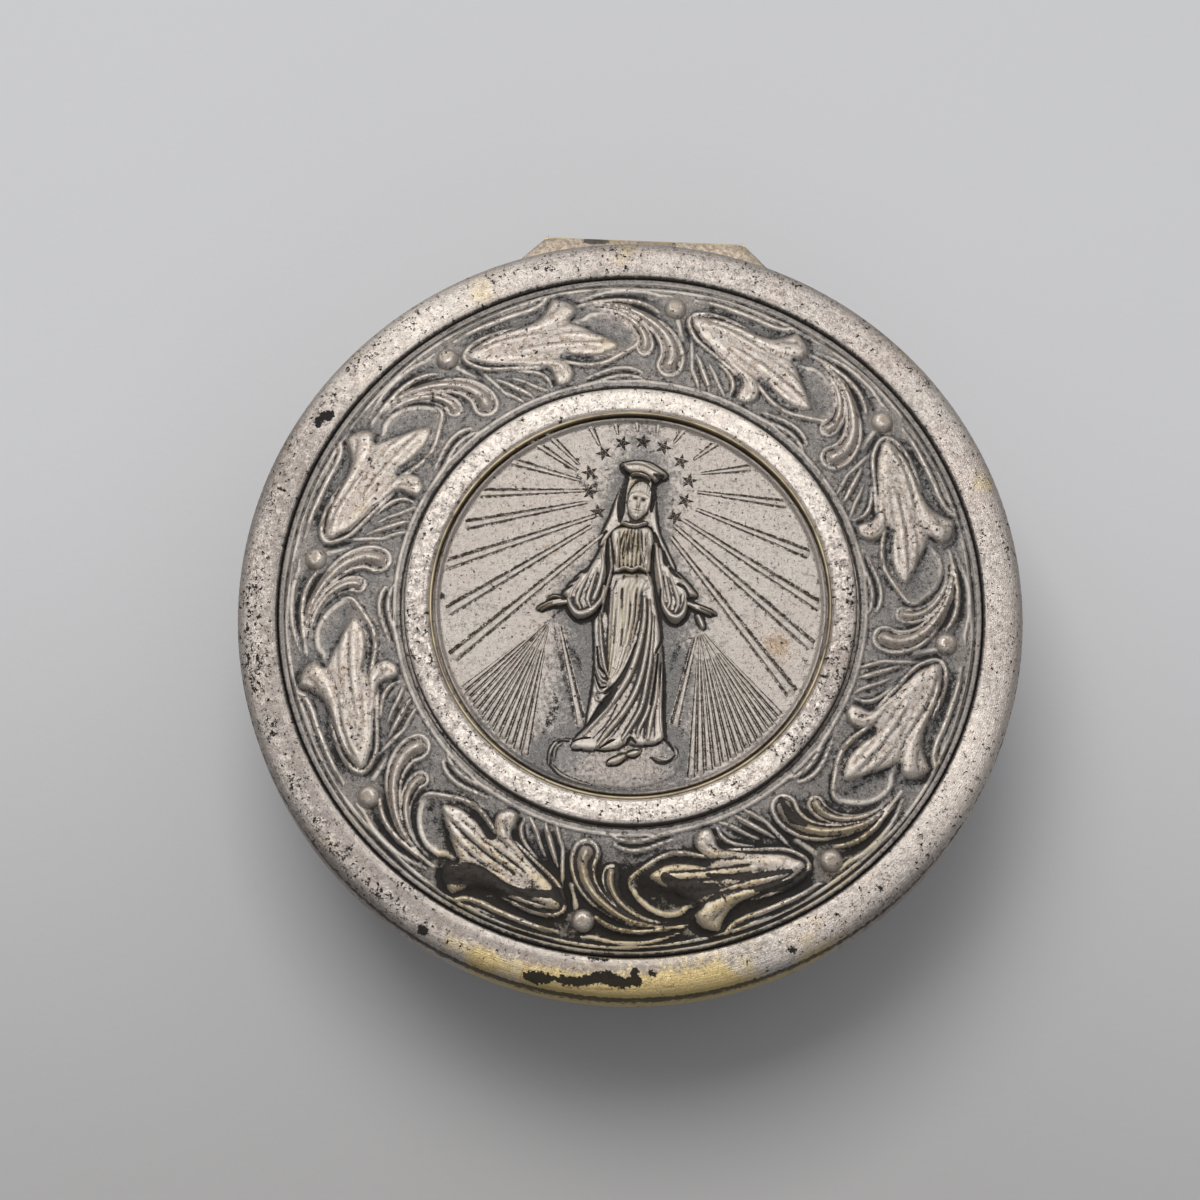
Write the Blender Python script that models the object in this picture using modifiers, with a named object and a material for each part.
"""Round hinged metal box for a rosary: turned base, pressed scroll-leaf lid and a set medal."""
import math

import bmesh
import bpy
from mathutils import Matrix, Vector

# Whole box. Metres, Z up, the foot rests on Z = 0 and the hinge is at +Y.
LID_DIAMETER = 0.0570
PARTING_HEIGHT = 0.0145
PARTING_GAP = 0.00015
SEAT_GAP = 0.0002
CUT_OVERRUN = 0.001
TURN_STEPS = 64
SMALL_TURN_STEPS = 24
WELD_DISTANCE = 0.000002
SHARP_ANGLE = math.radians(35)

# Base bowl
BOWL_EDGE_INSET = 0.0002
BOWL_WALL = 0.00085
BOWL_FLOOR = 0.0009
FOOT_DIAMETER = 0.0410
BOWL_SLOPE_SHARE = 0.25
BOWL_CURVE_STEPS = 6

# Mouth collar
COLLAR_CLEARANCE = 0.00035
COLLAR_WALL = 0.0006
COLLAR_RISE = 0.0014
COLLAR_DEPTH = 0.0016
COLLAR_CHAMFER = 0.00015
PIP_RADIUS = 0.0006
PIP_RISE = 0.0002
PIP_RINGS = 6
PIP_ANGLES_DEG = (-115, -65)

# Lid rim with its skirt and ledge
SKIRT_WALL = 0.0009
SKIRT_HEIGHT = 0.0024
SKIRT_CHAMFER = 0.00012
RIM_WIDTH = 0.0029
RIM_CROWN = 0.0012
RIM_STEP_CHAMFER = 0.0002
RIM_CURVE_STEPS = 5
LEDGE_WIDTH = 0.0014
LEDGE_THICKNESS = 0.00055

# Pressed leaf panel
PANEL_EDGE_DROP = 0.00035
PANEL_THICKNESS = 0.0008
PANEL_RISE = 0.0016
PANEL_BORDER = 0.0004
WELL_LIP = 0.0002
WELL_WALL = 0.00055
WELL_FLOOR = 0.0006

# Medal and its ring
RING_DIAMETER = 0.0327
RING_WIDTH = 0.00205
RING_STAND = 0.00045
RING_CHAMFER = 0.00015
RING_LIP_WIDTH = 0.00025
RING_LIP_RISE = 0.00008
FIELD_DEPTH = 0.0005
MEDAL_THICKNESS = 0.0005

# Backing disc inside the lid
BACKING_CLEARANCE = 0.00045
BACKING_THICKNESS = 0.00045

# Hinge
BARREL_RADIUS = 0.00105
BARREL_GAP = 0.00025
PIN_RADIUS = 0.0005
PIN_CLEARANCE = 0.00005
PIN_END = 0.0003
HINGE_BACK_WIDTH = 0.0145
HINGE_FOOT_WIDTH = 0.0189
KNUCKLE_COUNT = 3
KNUCKLE_GAP = 0.00015
BRIDGE_THICKNESS = 0.00105
LEAF_GAP = 0.00015
LEAF_TOP_DROP = 0.0003

# Scroll-leaf motif. Places are shares of the motif's pitch along the band and of the band's width
# across it, and girths are shares of the band's width.
MOTIF_COUNT = 8
BEAD_PHASE_DEG = 38.9
RELIEF_HEIGHT_SHARE = 0.65
BEAD_SHARES = (0.0, 0.785, 0.09)
STEM_SHARES = (
    (0.056, 0.80, 0.015), (0.133, 0.88, 0.036), (0.21, 0.915, 0.044), (0.30, 0.89, 0.036), (0.367, 0.83, 0.015))
LARGE_SCROLL_SHARES = (
    (0.333, 0.806, 0.015), (0.18, 0.72, 0.04), (0.06, 0.57, 0.06), (-0.015, 0.38, 0.08), (-0.02, 0.20, 0.10))
SMALL_SCROLL_SHARES = (
    (0.30, 0.758, 0.012), (0.20, 0.64, 0.034), (0.135, 0.50, 0.052), (0.107, 0.35, 0.073))
OUTER_LIP_SHARES = (
    (-0.13, 0.79, 0.03), (-0.27, 0.77, 0.05), (-0.40, 0.74, 0.055), (-0.50, 0.76, 0.05), (-0.53, 0.84, 0.045),
    (-0.50, 0.92, 0.035), (-0.46, 0.96, 0.015))
HOOK_BEAD_SHARES = (-0.485, 0.80, 0.085)
INNER_LIP_SHARES = (
    (-0.16, 0.50, 0.03), (-0.28, 0.43, 0.05), (-0.37, 0.34, 0.065), (-0.425, 0.24, 0.08), (-0.44, 0.17, 0.085))
MIDRIB_SHARES = (
    (-0.13, 0.68, 0.03), (-0.30, 0.60, 0.055), (-0.49, 0.49, 0.05), (-0.64, 0.385, 0.02))
SMALL_LEAF_SHARES = ((-0.15, 0.31, 0.012), (-0.24, 0.17, 0.05), (-0.31, 0.07, 0.015))
BLADE_OUTLINE_SHARES = (
    (-0.10, 0.76), (-0.22, 0.79), (-0.40, 0.74), (-0.50, 0.66), (-0.58, 0.57), (-0.66, 0.46), (-0.695, 0.345),
    (-0.62, 0.31), (-0.52, 0.35), (-0.42, 0.36), (-0.30, 0.37), (-0.22, 0.43), (-0.13, 0.53), (-0.09, 0.65))
BLADE_HEIGHT_SHARE = 0.035
BLADE_SINK_SHARE = 0.06
MOTIF_STROKE_STEPS = 1
BEAD_RINGS = 4
ROUND_END_DEG = (55,)

# Medal relief. Places and girths are shares of the medal's radius.
FIGURE_STROKE_STEPS = 2
FIGURE_BALL_RINGS = 8
ROBE_SHARES = (
    (0.014, 0.44, 0.055), (0.014, 0.32, 0.12), (0.007, 0.07, 0.122), (-0.007, -0.21, 0.152), (-0.028, -0.50, 0.195),
    (-0.035, -0.71, 0.215))
MANTLE_SHARES = ((-0.11, 0.20, 0.05), (-0.17, -0.10, 0.055), (-0.21, -0.36, 0.05), (-0.25, -0.60, 0.03))
ARM_SHARES = (
    ((-0.09, 0.34, 0.055), (-0.22, 0.17, 0.062), (-0.33, 0.07, 0.065), (-0.40, 0.02, 0.03), (-0.46, -0.015, 0.02)),
    ((0.11, 0.34, 0.055), (0.22, 0.17, 0.062), (0.29, 0.05, 0.062), (0.335, -0.03, 0.03), (0.37, -0.075, 0.02)))
CROWN_SHARES = ((0.02, 0.635, 0.052), (0.022, 0.72, 0.075))
HEAD_SHARES = (0.014, 0.56, 0.068)
VEIL_SHARES = (0.014, 0.535, 0.10)
GLOBE_SHARES = (-0.06, -1.14, 0.42)
ROBE_HEIGHT_SHARE = 0.30
ARM_HEIGHT_SHARE = 0.50
HEAD_HEIGHT_SHARE = 0.75
VEIL_HEIGHT_SHARE = 0.38
GLOBE_HEIGHT_SHARE = 0.055
RAY_COUNT = 19
RAY_FAN_DEG = (-52, 232)
RAY_START_SHARE = 0.32
RAY_REACH_SHARE = 0.95
RAY_GIRTH_SHARE = 0.011
HAND_RAY_COUNT = 7
HAND_SHARES = ((-0.43, -0.06), (0.37, -0.10))
HAND_RAY_FAN_DEG = ((-135, -77), (-103, -51))
HAND_RAY_START_SHARE = 0.08
HAND_RAY_TAPER_SHARE = 0.5
RAY_HEIGHT_SHARE = 0.7
STAR_COUNT = 12
STAR_FAN_DEG = (-28, 208)
STAR_RING_SHARE = 0.265
STAR_RADIUS_SHARE = 0.038
STAR_WAIST_SHARE = 0.45
STAR_HEIGHT_SHARE = 0.014

# Radii and heights that follow from the sizes above
LID_RADIUS = LID_DIAMETER / 2
FOOT_RADIUS = FOOT_DIAMETER / 2
SKIRT_BORE = LID_RADIUS - SKIRT_WALL
COLLAR_RADIUS = SKIRT_BORE - COLLAR_CLEARANCE
COLLAR_BORE = COLLAR_RADIUS - COLLAR_WALL
BOWL_RADIUS = LID_RADIUS - BOWL_EDGE_INSET
BOWL_HEIGHT = PARTING_HEIGHT - PARTING_GAP
BOWL_BORE = COLLAR_RADIUS + SEAT_GAP
BOWL_SHOULDER = PARTING_HEIGHT - COLLAR_DEPTH - SEAT_GAP
RIM_EDGE_HEIGHT = PARTING_HEIGHT + SKIRT_HEIGHT
RIM_CREST_HEIGHT = RIM_EDGE_HEIGHT + RIM_CROWN
RIM_BORE = LID_RADIUS - RIM_WIDTH
PANEL_RADIUS = RIM_BORE - SEAT_GAP
PANEL_EDGE_HEIGHT = RIM_CREST_HEIGHT - PANEL_EDGE_DROP
PANEL_TOP_HEIGHT = PANEL_EDGE_HEIGHT + PANEL_RISE
BAND_RADIUS = PANEL_RADIUS - PANEL_BORDER
LEDGE_HEIGHT = PANEL_EDGE_HEIGHT - PANEL_THICKNESS - SEAT_GAP
LEDGE_UNDERSIDE = LEDGE_HEIGHT - LEDGE_THICKNESS
LEDGE_BORE = RIM_BORE - LEDGE_WIDTH
RING_RADIUS = RING_DIAMETER / 2
RING_BORE = RING_RADIUS - RING_WIDTH
RING_HEIGHT = PANEL_TOP_HEIGHT + RING_STAND
WELL_RADIUS = RING_RADIUS + SEAT_GAP
BAND_BORE = WELL_RADIUS + WELL_LIP
MEDAL_RADIUS = RING_BORE - SEAT_GAP
MEDAL_FIELD_HEIGHT = RING_HEIGHT - FIELD_DEPTH
MEDAL_UNDERSIDE = MEDAL_FIELD_HEIGHT - MEDAL_THICKNESS
WELL_HEIGHT = MEDAL_UNDERSIDE - SEAT_GAP
BACKING_RADIUS = COLLAR_BORE - BACKING_CLEARANCE
BACKING_HEIGHT = LEDGE_UNDERSIDE - SEAT_GAP
HINGE_Y = COLLAR_RADIUS + BARREL_GAP + BARREL_RADIUS
HINGE_BACK_Y = HINGE_Y + BARREL_RADIUS
HINGE_AXIS = Vector((0, HINGE_Y, PARTING_HEIGHT))
HINGE_FOOT_HALF = HINGE_FOOT_WIDTH / 2
HINGE_BACK_HALF = HINGE_BACK_WIDTH / 2
KNUCKLE_HALF = HINGE_BACK_WIDTH / KNUCKLE_COUNT / 2
NOTCH_HALF = HINGE_FOOT_HALF + SEAT_GAP
NOTCH_FLOOR = PARTING_HEIGHT - BARREL_RADIUS - SEAT_GAP
NOTCH_CEILING = PARTING_HEIGHT + BARREL_RADIUS + BARREL_GAP
BAND_WIDTH = BAND_RADIUS - BAND_BORE
BAND_MIDDLE = (BAND_RADIUS + BAND_BORE) / 2
MOTIF_PITCH = math.tau / MOTIF_COUNT

# Colours, as linear red, green and blue, and the roughness of each finish
SILVER = ((0.46, 0.42, 0.40), 0.42)
AGED_SILVER = ((0.36, 0.34, 0.33), 0.50)
GILT = ((0.62, 0.50, 0.26), 0.38)
BRASS = ((0.55, 0.44, 0.22), 0.40)
STEEL = ((0.50, 0.50, 0.50), 0.35)


def clear_scene():
    """Remove every object that the file opened with."""
    for item in list(bpy.data.objects):
        bpy.data.objects.remove(item, do_unlink=True)


def new_collection(name):
    """Make a collection in the scene."""
    group = bpy.data.collections.new(name)
    bpy.context.scene.collection.children.link(group)
    return group


def metal(name, finish):
    """Make a metal material from a (colour, roughness) finish."""
    colour, roughness = finish
    material = bpy.data.materials.new(name)
    material.use_nodes = True
    shader = material.node_tree.nodes["Principled BSDF"]
    shader.inputs["Base Color"].default_value = (*colour, 1)
    shader.inputs["Roughness"].default_value = roughness
    shader.inputs["Metallic"].default_value = 1
    return material


def add_object(name, mesh, group):
    """Place a mesh in the scene under a name."""
    item = bpy.data.objects.new(name, mesh)
    group.objects.link(item)
    return item


def as_cutter(item):
    """Mark an object as a tool that shapes others and is no piece of the box."""
    item.hide_render = True
    item.display_type = "WIRE"
    return item


def finish_piece(item, material):
    """Give a piece its material and smooth its round faces."""
    item.data.materials.append(material)
    item.data.shade_smooth()
    item.data.set_sharp_from_angle(angle=SHARP_ANGLE)
    return item


def settled_mesh(item):
    """Return a new mesh of an object as its modifiers leave it."""
    depsgraph = bpy.context.evaluated_depsgraph_get()
    return bpy.data.meshes.new_from_object(item.evaluated_get(depsgraph))


def weld_caps(mesh):
    """Join a curve's loose caps to its walls and face them all outward."""
    build = bmesh.new()
    build.from_mesh(mesh)
    bmesh.ops.remove_doubles(build, verts=build.verts, dist=WELD_DISTANCE)
    bmesh.ops.recalc_face_normals(build, faces=build.faces)
    build.to_mesh(mesh)
    build.free()


def turned(name, outline, group, steps=TURN_STEPS):
    """Turn a (radius, height) outline about Z. It runs outward on top and down its outer side."""
    points = [(radius, 0, height) for radius, height in outline]
    edges = [(index, index + 1) for index in range(len(points) - 1)]
    if outline[0][0] > 0:
        edges.append((len(points) - 1, 0))
    mesh = bpy.data.meshes.new(name)
    mesh.from_pydata(points, edges, [])
    item = add_object(name, mesh, group)
    screw = item.modifiers.new("turn", "SCREW")
    screw.axis = "Z"
    screw.angle = math.tau
    screw.steps = steps
    screw.render_steps = steps
    screw.use_merge_vertices = True
    screw.merge_threshold = WELD_DISTANCE
    return item


def drum(name, radius, bottom, top, group, steps=TURN_STEPS):
    """Make an upright cylinder between two heights."""
    bpy.ops.mesh.primitive_cylinder_add(
        vertices=steps, radius=radius, depth=top - bottom, location=(0, 0, (bottom + top) / 2))
    return claim_active(name, group)


def rod(name, radius, half_length, group):
    """Make a cylinder along X on the hinge axis."""
    bpy.ops.mesh.primitive_cylinder_add(
        vertices=SMALL_TURN_STEPS, radius=radius, depth=2 * half_length,
        location=HINGE_AXIS, rotation=(0, math.pi / 2, 0))
    return claim_active(name, group)


def block(name, low, high, group):
    """Make a box between its lowest and highest corners."""
    size = Vector(high) - Vector(low)
    middle = (Vector(high) + Vector(low)) / 2
    bpy.ops.mesh.primitive_cube_add(size=1, location=middle)
    item = claim_active(name, group)
    item.data.transform(Matrix.Diagonal((*size, 1)))
    return item


def claim_active(name, group):
    """Name the primitive just added and move it into a collection."""
    item = bpy.context.active_object
    item.name = name
    item.data.name = name
    for owner in list(item.users_collection):
        owner.objects.unlink(item)
    group.objects.link(item)
    return item


def shape_with(item, operation, *tools, solver="EXACT"):
    """Add one Boolean for each tool, in order. The crowded leaves need the MANIFOLD solver."""
    for tool in tools:
        cut = item.modifiers.new(tool.name, "BOOLEAN")
        cut.operation = operation
        cut.object = as_cutter(tool)
        cut.solver = solver


def smooth_path(points, steps, closed=False):
    """Run a smooth curve through points of any number of values, with steps between neighbours."""
    count = len(points)
    last = count if closed else count - 1

    def pick(index):
        return points[index % count] if closed else points[min(max(index, 0), count - 1)]

    path = []
    for index in range(last):
        before, start, end, after = (pick(index + shift) for shift in (-1, 0, 1, 2))
        for step in range(steps):
            t = step / steps
            path.append(tuple(
                b + t * (c - a) / 2 + t * t * (2 * a - 5 * b + 4 * c - d) / 2 + t ** 3 * (3 * b - a - 3 * c + d) / 2
                for a, b, c, d in zip(before, start, end, after)))
    if not closed:
        path.append(tuple(points[-1]))
    return path


def with_round_end(path):
    """Close a stroke's last (x, y, girth) place with a rounded tip."""
    end = Vector(path[-1][:2])
    heading = (end - Vector(path[-2][:2])).normalized()
    girth = path[-1][2]
    tip = []
    for angle in ROUND_END_DEG:
        turn = math.radians(angle)
        tip.append((*(end + heading * girth * math.sin(turn)), girth * math.cos(turn)))
    return list(path) + tip


def stroke_mesh(path, fullness):
    """Make a closed tapered tube through (x, y, girth radius) places."""
    curve = bpy.data.curves.new("stroke", "CURVE")
    curve.dimensions = "3D"
    curve.bevel_depth = 1
    curve.bevel_resolution = fullness
    curve.use_fill_caps = True
    spline = curve.splines.new("POLY")
    spline.points.add(len(path) - 1)
    for point, (x, y, girth) in zip(spline.points, path):
        point.co = (x, y, 0, 1)
        point.radius = girth
    return curve_mesh(curve)


def plate_mesh(outline, half_thickness):
    """Make a closed flat plate from an (x, y) outline."""
    curve = bpy.data.curves.new("plate", "CURVE")
    curve.dimensions = "2D"
    curve.fill_mode = "BOTH"
    curve.extrude = half_thickness
    spline = curve.splines.new("POLY")
    spline.use_cyclic_u = True
    spline.points.add(len(outline) - 1)
    for point, (x, y) in zip(spline.points, outline):
        point.co = (x, y, 0, 1)
    return curve_mesh(curve)


def curve_mesh(curve):
    """Turn a curve into a welded mesh and drop the curve."""
    item = bpy.data.objects.new("guide", curve)
    bpy.context.scene.collection.objects.link(item)
    mesh = settled_mesh(item)
    weld_caps(mesh)
    bpy.data.objects.remove(item, do_unlink=True)
    bpy.data.curves.remove(curve)
    return mesh


def ball_mesh(radius, rings):
    """Make a low round ball about the origin."""
    build = bmesh.new()
    bmesh.ops.create_uvsphere(build, u_segments=2 * rings, v_segments=rings, radius=radius)
    mesh = bpy.data.meshes.new("ball")
    build.to_mesh(mesh)
    build.free()
    return mesh


def bowl_radius(height):
    """Outside radius of the bowl at a height above the foot: part round, part straight slope."""
    rise = min(max(height / BOWL_HEIGHT, 0), 1)
    roundness = math.sqrt(1 - (1 - rise) ** 2)
    return FOOT_RADIUS + (BOWL_RADIUS - FOOT_RADIUS) * ((1 - BOWL_SLOPE_SHARE) * roundness + BOWL_SLOPE_SHARE * rise)


def bowl_heights(bottom, top):
    """Heights that space the bowl's round side evenly."""
    quarter = math.pi / 2
    return [bottom + (top - bottom) * (1 - math.cos(quarter * step / BOWL_CURVE_STEPS))
            for step in range(BOWL_CURVE_STEPS + 1)]


def make_base_bowl(group, tools):
    """Bowl with a flat foot, a shoulder for the collar and a notch at the back for the hinge."""
    outline = [(0, BOWL_FLOOR)]
    for height in bowl_heights(BOWL_FLOOR, BOWL_SHOULDER):
        lift = BOWL_FLOOR * (BOWL_SHOULDER - height) / (BOWL_SHOULDER - BOWL_FLOOR)
        outline.append((bowl_radius(height - lift) - BOWL_WALL, height))
    outline += [(BOWL_BORE, BOWL_SHOULDER), (BOWL_BORE, BOWL_HEIGHT)]
    outline += [(bowl_radius(height), height) for height in reversed(bowl_heights(0, BOWL_HEIGHT))]
    outline.append((0, 0))
    bowl = turned("base_bowl", outline, group)
    notch = block(
        "bowl_notch_cutter", (-NOTCH_HALF, 0, NOTCH_FLOOR),
        (NOTCH_HALF, HINGE_BACK_Y, BOWL_HEIGHT + CUT_OVERRUN), tools)
    shape_with(bowl, "DIFFERENCE", notch)
    return finish_piece(bowl, metal("base_silver", SILVER))


def make_base_collar(group, tools):
    """Mouth ring that stands up inside the lid, with pips that grip the skirt."""
    top = PARTING_HEIGHT + COLLAR_RISE
    bottom = PARTING_HEIGHT - COLLAR_DEPTH
    collar = turned("base_collar", [
        (COLLAR_BORE, top), (COLLAR_RADIUS - COLLAR_CHAMFER, top), (COLLAR_RADIUS, top - COLLAR_CHAMFER),
        (COLLAR_RADIUS, bottom), (COLLAR_BORE, bottom)], group)
    for index, angle in enumerate(PIP_ANGLES_DEG):
        pip = add_object(f"pip_cutter_{index}", ball_mesh(PIP_RADIUS, PIP_RINGS), tools)
        reach = COLLAR_RADIUS + PIP_RISE - PIP_RADIUS
        turn = math.radians(angle)
        pip.data.transform(Matrix.Translation((
            reach * math.cos(turn), reach * math.sin(turn), PARTING_HEIGHT + COLLAR_RISE / 2)))
        shape_with(collar, "UNION", pip)
    return finish_piece(collar, metal("collar_gilt", GILT))


def hinge_bore(tools):
    """Cutter for the pin's running bore."""
    return rod("hinge_bore_cutter", PIN_RADIUS + PIN_CLEARANCE, HINGE_FOOT_HALF + CUT_OVERRUN, tools)


def make_base_hinge_leaf(group, tools):
    """Strip let into the bowl: bridge, outer knuckles and slanting wings."""
    foot_y = math.sqrt(LID_RADIUS ** 2 - HINGE_FOOT_HALF ** 2)
    outline = [
        (-HINGE_FOOT_HALF, 0), (HINGE_FOOT_HALF, 0), (HINGE_FOOT_HALF, foot_y), (HINGE_BACK_HALF, HINGE_BACK_Y),
        (-HINGE_BACK_HALF, HINGE_BACK_Y), (-HINGE_FOOT_HALF, foot_y)]
    bottom = NOTCH_FLOOR - BRIDGE_THICKNESS
    top = PARTING_HEIGHT + BARREL_RADIUS
    leaf = add_object("base_hinge_leaf", plate_mesh(outline, (top - bottom) / 2), group)
    leaf.data.transform(Matrix.Translation((0, 0, (top + bottom) / 2)))
    step = NOTCH_FLOOR + SEAT_GAP
    seat = turned("hinge_seat_cutter", [
        (0, top + CUT_OVERRUN), (COLLAR_RADIUS + SEAT_GAP, top + CUT_OVERRUN), (COLLAR_RADIUS + SEAT_GAP, step),
        (BOWL_RADIUS + SEAT_GAP, step), (BOWL_RADIUS + SEAT_GAP, bottom - CUT_OVERRUN), (0, bottom - CUT_OVERRUN)],
        tools)
    back = HINGE_BACK_Y + CUT_OVERRUN
    above = block(
        "barrel_room_cutter", (-HINGE_BACK_HALF, 0, PARTING_HEIGHT), (HINGE_BACK_HALF, back, top + CUT_OVERRUN), tools)
    barrel = rod("base_barrel_cutter", BARREL_RADIUS, HINGE_BACK_HALF, tools)
    gap_half = KNUCKLE_HALF + KNUCKLE_GAP
    middle = block(
        "knuckle_room_cutter", (-gap_half, 0, NOTCH_FLOOR), (gap_half, back, top + CUT_OVERRUN), tools)
    shape_with(leaf, "DIFFERENCE", seat, above)
    shape_with(leaf, "UNION", barrel)
    shape_with(leaf, "DIFFERENCE", middle, hinge_bore(tools))
    return finish_piece(leaf, metal("hinge_brass", BRASS))


def make_hinge_pin(group):
    """Pin through the three knuckles, its ends inside the wings."""
    pin = rod("hinge_pin", PIN_RADIUS, HINGE_BACK_HALF + PIN_END, group)
    return finish_piece(pin, metal("pin_steel", STEEL))


def make_lid_hinge_leaf(group, tools):
    """Middle knuckle with the leaf that runs up the back of the lid's skirt."""
    leaf = block(
        "lid_hinge_leaf", (-KNUCKLE_HALF, LID_RADIUS + LEAF_GAP, PARTING_HEIGHT),
        (KNUCKLE_HALF, HINGE_BACK_Y, RIM_EDGE_HEIGHT - LEAF_TOP_DROP), group)
    barrel = rod("lid_barrel_cutter", BARREL_RADIUS, KNUCKLE_HALF, tools)
    shape_with(leaf, "UNION", barrel)
    shape_with(leaf, "DIFFERENCE", hinge_bore(tools))
    return finish_piece(leaf, metal("hinge_leaf_brass", BRASS))


def make_lid_rim(group, tools):
    """Convex rim with its skirt and the ledge under the panel, notched over the hinge."""
    crest = RIM_BORE + RIM_STEP_CHAMFER
    outline = [
        (LEDGE_BORE, LEDGE_HEIGHT), (RIM_BORE, LEDGE_HEIGHT), (RIM_BORE, RIM_CREST_HEIGHT - RIM_STEP_CHAMFER)]
    for step in range(RIM_CURVE_STEPS + 1):
        turn = math.pi / 2 * step / RIM_CURVE_STEPS
        outline.append((
            crest + (LID_RADIUS - crest) * math.sin(turn), RIM_EDGE_HEIGHT + RIM_CROWN * math.cos(turn)))
    outline += [
        (LID_RADIUS, PARTING_HEIGHT + SKIRT_CHAMFER), (LID_RADIUS - SKIRT_CHAMFER, PARTING_HEIGHT),
        (SKIRT_BORE, PARTING_HEIGHT), (SKIRT_BORE, LEDGE_UNDERSIDE), (LEDGE_BORE, LEDGE_UNDERSIDE)]
    rim = turned("lid_rim", outline, group)
    notch = block(
        "lid_notch_cutter", (-NOTCH_HALF, 0, PARTING_HEIGHT - CUT_OVERRUN), (NOTCH_HALF, HINGE_BACK_Y, NOTCH_CEILING),
        tools)
    shape_with(rim, "DIFFERENCE", notch)
    return finish_piece(rim, metal("rim_silver", SILVER))


def band_height(radius):
    """Height of the leaf band's sloping ground at a radius."""
    return PANEL_TOP_HEIGHT - PANEL_RISE * (radius - BAND_BORE) / BAND_WIDTH


def motif_stroke(shares, fullness):
    """One tapered stroke of the motif, unrolled: X runs along the band and Y outward."""
    path = [(along * MOTIF_PITCH * BAND_MIDDLE, BAND_BORE + across * BAND_WIDTH, girth * BAND_WIDTH)
            for along, across, girth in smooth_path(shares, MOTIF_STROKE_STEPS)]
    return stroke_mesh(with_round_end(path) if fullness else path, fullness)


def motif_blade():
    """The long blade of the leaf, unrolled."""
    outline = [(along * MOTIF_PITCH * BAND_MIDDLE, BAND_BORE + across * BAND_WIDTH)
               for along, across in BLADE_OUTLINE_SHARES]
    half = (BLADE_HEIGHT_SHARE + BLADE_SINK_SHARE) * BAND_WIDTH / 2
    mesh = plate_mesh(outline, half)
    mesh.transform(Matrix.Translation((0, 0, BLADE_HEIGHT_SHARE * BAND_WIDTH - half)))
    return mesh


def motif_bead(shares):
    """A round bead of the motif, unrolled."""
    along, across, girth = shares
    mesh = ball_mesh(girth * BAND_WIDTH, BEAD_RINGS)
    mesh.transform(Matrix.Translation((
        along * MOTIF_PITCH * BAND_MIDDLE, BAND_BORE + across * BAND_WIDTH, 0)))
    return mesh


def lay_on_band(mesh):
    """Bend an unrolled mesh round the box and lay it on the band's slope."""
    for vertex in mesh.vertices:
        along, radius, rise = vertex.co
        angle = math.radians(BEAD_PHASE_DEG) + along / BAND_MIDDLE
        vertex.co = (
            radius * math.cos(angle), radius * math.sin(angle), band_height(radius) + RELIEF_HEIGHT_SHARE * rise)
    mesh.flip_normals()


def fused(name, meshes, group, solver):
    """Union closed meshes into one object's mesh."""
    first, *rest = meshes
    item = add_object(name, first, group)
    tools = [add_object(f"{name}_{index}", mesh, group) for index, mesh in enumerate(rest)]
    shape_with(item, "UNION", *tools, solver=solver)
    item.data = settled_mesh(item)
    item.modifiers.clear()
    for tool in tools:
        bpy.data.objects.remove(tool, do_unlink=True)
    return as_cutter(item)


def make_motifs(tools):
    """Tool object with every copy of the scroll-leaf motif, laid round the band."""
    meshes = [motif_blade(), motif_bead(BEAD_SHARES), motif_bead(HOOK_BEAD_SHARES)]
    meshes += [motif_stroke(shares, 1) for shares in (LARGE_SCROLL_SHARES, SMALL_SCROLL_SHARES, INNER_LIP_SHARES)]
    ridges = (OUTER_LIP_SHARES, STEM_SHARES, MIDRIB_SHARES, SMALL_LEAF_SHARES)
    meshes += [motif_stroke(shares, 0) for shares in ridges]
    for mesh in meshes:
        lay_on_band(mesh)
    motif = fused("motif_tool", meshes, tools, "MANIFOLD")
    build = bmesh.new()
    for copy in range(MOTIF_COUNT):
        turned_copy = motif.data.copy()
        turned_copy.transform(Matrix.Rotation(copy * MOTIF_PITCH, 4, "Z"))
        build.from_mesh(turned_copy)
    build.to_mesh(motif.data)
    build.free()
    return motif


def make_leaf_panel(group, tools):
    """Pressed panel: sloping band with its leaves round a flat-bottomed well for the medal."""
    underside = PANEL_TOP_HEIGHT - PANEL_THICKNESS
    well_outer = WELL_RADIUS + WELL_WALL
    panel = turned("leaf_panel", [
        (0, WELL_HEIGHT), (WELL_RADIUS, WELL_HEIGHT), (WELL_RADIUS, PANEL_TOP_HEIGHT), (BAND_BORE, PANEL_TOP_HEIGHT),
        (BAND_RADIUS, PANEL_EDGE_HEIGHT), (PANEL_RADIUS, PANEL_EDGE_HEIGHT),
        (PANEL_RADIUS, PANEL_EDGE_HEIGHT - PANEL_THICKNESS), (BAND_RADIUS, PANEL_EDGE_HEIGHT - PANEL_THICKNESS),
        (well_outer, underside), (well_outer, WELL_HEIGHT - WELL_FLOOR), (0, WELL_HEIGHT - WELL_FLOOR)], group)
    shape_with(panel, "UNION", make_motifs(tools), solver="MANIFOLD")
    return finish_piece(panel, metal("panel_silver", AGED_SILVER))


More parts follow.
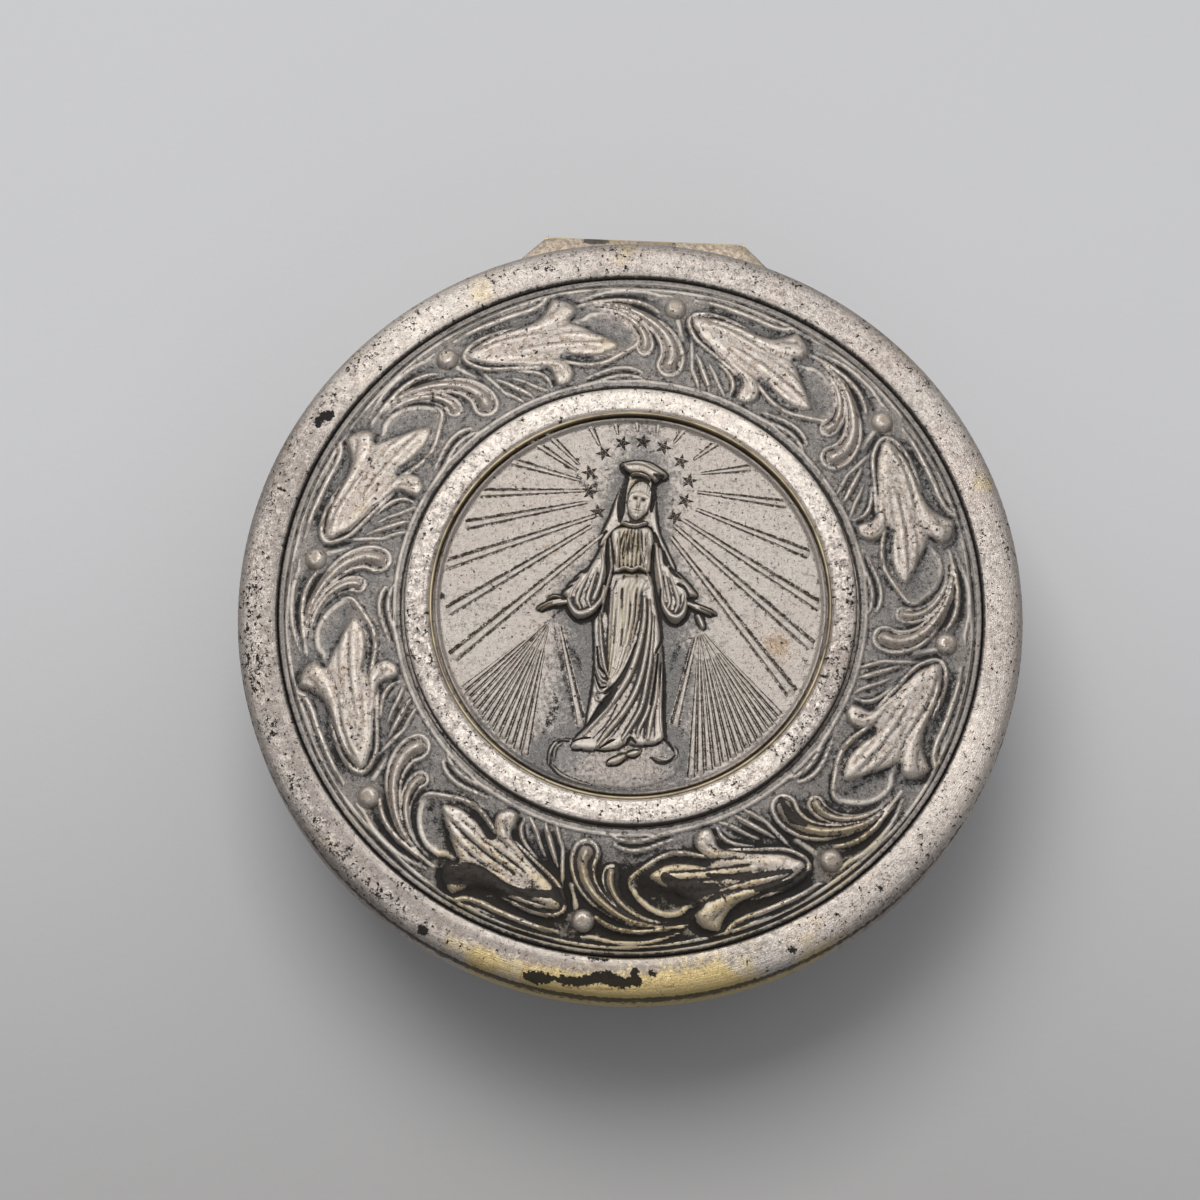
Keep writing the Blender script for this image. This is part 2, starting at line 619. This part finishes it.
def make_medallion_ring(group):
    """Plain flat ring round the medal with a thin raised inner lip."""
    lip_top = RING_HEIGHT + RING_LIP_RISE
    lip_edge = RING_BORE + RING_LIP_WIDTH
    ring = turned("medallion_ring", [
        (RING_BORE, lip_top), (lip_edge, lip_top), (lip_edge, RING_HEIGHT), (RING_RADIUS - RING_CHAMFER, RING_HEIGHT),
        (RING_RADIUS, RING_HEIGHT - RING_CHAMFER), (RING_RADIUS, MEDAL_UNDERSIDE), (RING_BORE, MEDAL_UNDERSIDE)],
        group)
    return finish_piece(ring, metal("ring_silver", SILVER))


def make_lid_backing_disc(group):
    """Plain disc that closes the lid from inside."""
    disc = drum("lid_backing_disc", BACKING_RADIUS, BACKING_HEIGHT - BACKING_THICKNESS, BACKING_HEIGHT, group)
    return finish_piece(disc, metal("backing_gilt", GILT))


def on_field(mesh, height_share):
    """Flatten a mesh by a share of its height and set it on the medal's field."""
    mesh.transform(Matrix.Translation((0, 0, MEDAL_FIELD_HEIGHT)) @ Matrix.Diagonal((1, 1, height_share, 1)))
    return mesh


def figure_stroke(shares, height_share):
    """One tapered form of the standing figure."""
    path = [tuple(value * MEDAL_RADIUS for value in place) for place in smooth_path(shares, FIGURE_STROKE_STEPS)]
    return on_field(stroke_mesh(path, 1), height_share)


def figure_ball(shares, height_share):
    """One round form of the relief: head, veil or globe."""
    x, y, girth = shares
    mesh = ball_mesh(girth * MEDAL_RADIUS, FIGURE_BALL_RINGS)
    mesh.transform(Matrix.Translation((x * MEDAL_RADIUS, y * MEDAL_RADIUS, 0)))
    return on_field(mesh, height_share)


def mirrored(shares):
    """The same stroke on the figure's other side."""
    return tuple((-x, y, girth) for x, y, girth in shares)


def fan(count, limits_deg):
    """Evenly spread directions between two limits."""
    first, last = (math.radians(limit) for limit in limits_deg)
    return [first + (last - first) * index / (count - 1) for index in range(count)]


def ray_mesh(centre, angle, start, taper):
    """Thin bar along a direction from a centre out to the medal's edge."""
    heading = Vector((math.cos(angle), math.sin(angle)))
    reach = RAY_REACH_SHARE * MEDAL_RADIUS
    along = centre.dot(heading)
    end = math.sqrt(along ** 2 - centre.length_squared + reach ** 2) - along
    girth = RAY_GIRTH_SHARE * MEDAL_RADIUS
    path = [(*(centre + heading * start), girth * taper), (*(centre + heading * end), girth)]
    return on_field(stroke_mesh(path, 0), RAY_HEIGHT_SHARE)


def star_mesh(x, y):
    """Low five-pointed star."""
    build = bmesh.new()
    radius = STAR_RADIUS_SHARE * MEDAL_RADIUS
    depth = 2 * STAR_HEIGHT_SHARE * MEDAL_RADIUS
    bmesh.ops.create_cone(build, cap_ends=True, segments=10, radius1=radius, radius2=0, depth=depth)
    ring = sorted((v for v in build.verts if v.co.z < 0), key=lambda v: math.atan2(v.co.y, v.co.x))
    for vertex in ring[::2]:
        vertex.co.xy *= STAR_WAIST_SHARE
    mesh = bpy.data.meshes.new("star")
    build.to_mesh(mesh)
    build.free()
    mesh.transform(Matrix.Translation((x, y, MEDAL_FIELD_HEIGHT + depth / 4)))
    return mesh


def make_medal_relief(tools):
    """Tool object with the figure, its rays, stars and globe."""
    head = Vector(HEAD_SHARES[:2]) * MEDAL_RADIUS
    meshes = [figure_stroke(ROBE_SHARES, ROBE_HEIGHT_SHARE)]
    meshes += [figure_stroke(shares, ROBE_HEIGHT_SHARE) for shares in (MANTLE_SHARES, mirrored(MANTLE_SHARES))]
    meshes += [figure_stroke(shares, ARM_HEIGHT_SHARE) for shares in ARM_SHARES]
    meshes.append(figure_stroke(CROWN_SHARES, HEAD_HEIGHT_SHARE))
    meshes.append(figure_ball(HEAD_SHARES, HEAD_HEIGHT_SHARE))
    meshes.append(figure_ball(VEIL_SHARES, VEIL_HEIGHT_SHARE))
    meshes.append(figure_ball(GLOBE_SHARES, GLOBE_HEIGHT_SHARE))
    start = RAY_START_SHARE * MEDAL_RADIUS
    meshes += [ray_mesh(head, angle, start, 1) for angle in fan(RAY_COUNT, RAY_FAN_DEG)]
    for place, limits in zip(HAND_SHARES, HAND_RAY_FAN_DEG):
        hand = Vector(place) * MEDAL_RADIUS
        start = HAND_RAY_START_SHARE * MEDAL_RADIUS
        meshes += [ray_mesh(hand, angle, start, HAND_RAY_TAPER_SHARE) for angle in fan(HAND_RAY_COUNT, limits)]
    for angle in fan(STAR_COUNT, STAR_FAN_DEG):
        reach = STAR_RING_SHARE * MEDAL_RADIUS
        meshes.append(star_mesh(head.x + reach * math.cos(angle), head.y + reach * math.sin(angle)))
    return fused("medal_relief_tool", meshes, tools, "EXACT")


def make_medallion(group, tools):
    """Struck medal: a flat field that carries the relief."""
    medal = drum("medallion", MEDAL_RADIUS, MEDAL_UNDERSIDE, MEDAL_FIELD_HEIGHT, group)
    relief = make_medal_relief(tools)
    room = drum(
        "relief_room_cutter", (MEDAL_RADIUS + RAY_REACH_SHARE * MEDAL_RADIUS) / 2,
        (MEDAL_UNDERSIDE + MEDAL_FIELD_HEIGHT) / 2, RING_HEIGHT + CUT_OVERRUN, tools)
    shape_with(relief, "INTERSECT", room)
    shape_with(medal, "UNION", relief)
    return finish_piece(medal, metal("medal_silver", AGED_SILVER))


def main():
    """Build the box: fixed pieces, then the lid's pieces under an empty on the hinge axis."""
    clear_scene()
    group = new_collection("rosary_box")
    tools = new_collection("cutters")
    make_base_bowl(group, tools)
    make_base_collar(group, tools)
    make_base_hinge_leaf(group, tools)
    make_hinge_pin(group)
    lid_axis = bpy.data.objects.new("lid_axis", None)
    lid_axis.location = HINGE_AXIS
    group.objects.link(lid_axis)
    lid_pieces = (
        make_lid_hinge_leaf(group, tools), make_lid_rim(group, tools), make_leaf_panel(group, tools),
        make_medallion_ring(group), make_medallion(group, tools), make_lid_backing_disc(group))
    for piece in lid_pieces:
        piece.parent = lid_axis
        piece.matrix_parent_inverse = Matrix.Translation(-HINGE_AXIS)


main()
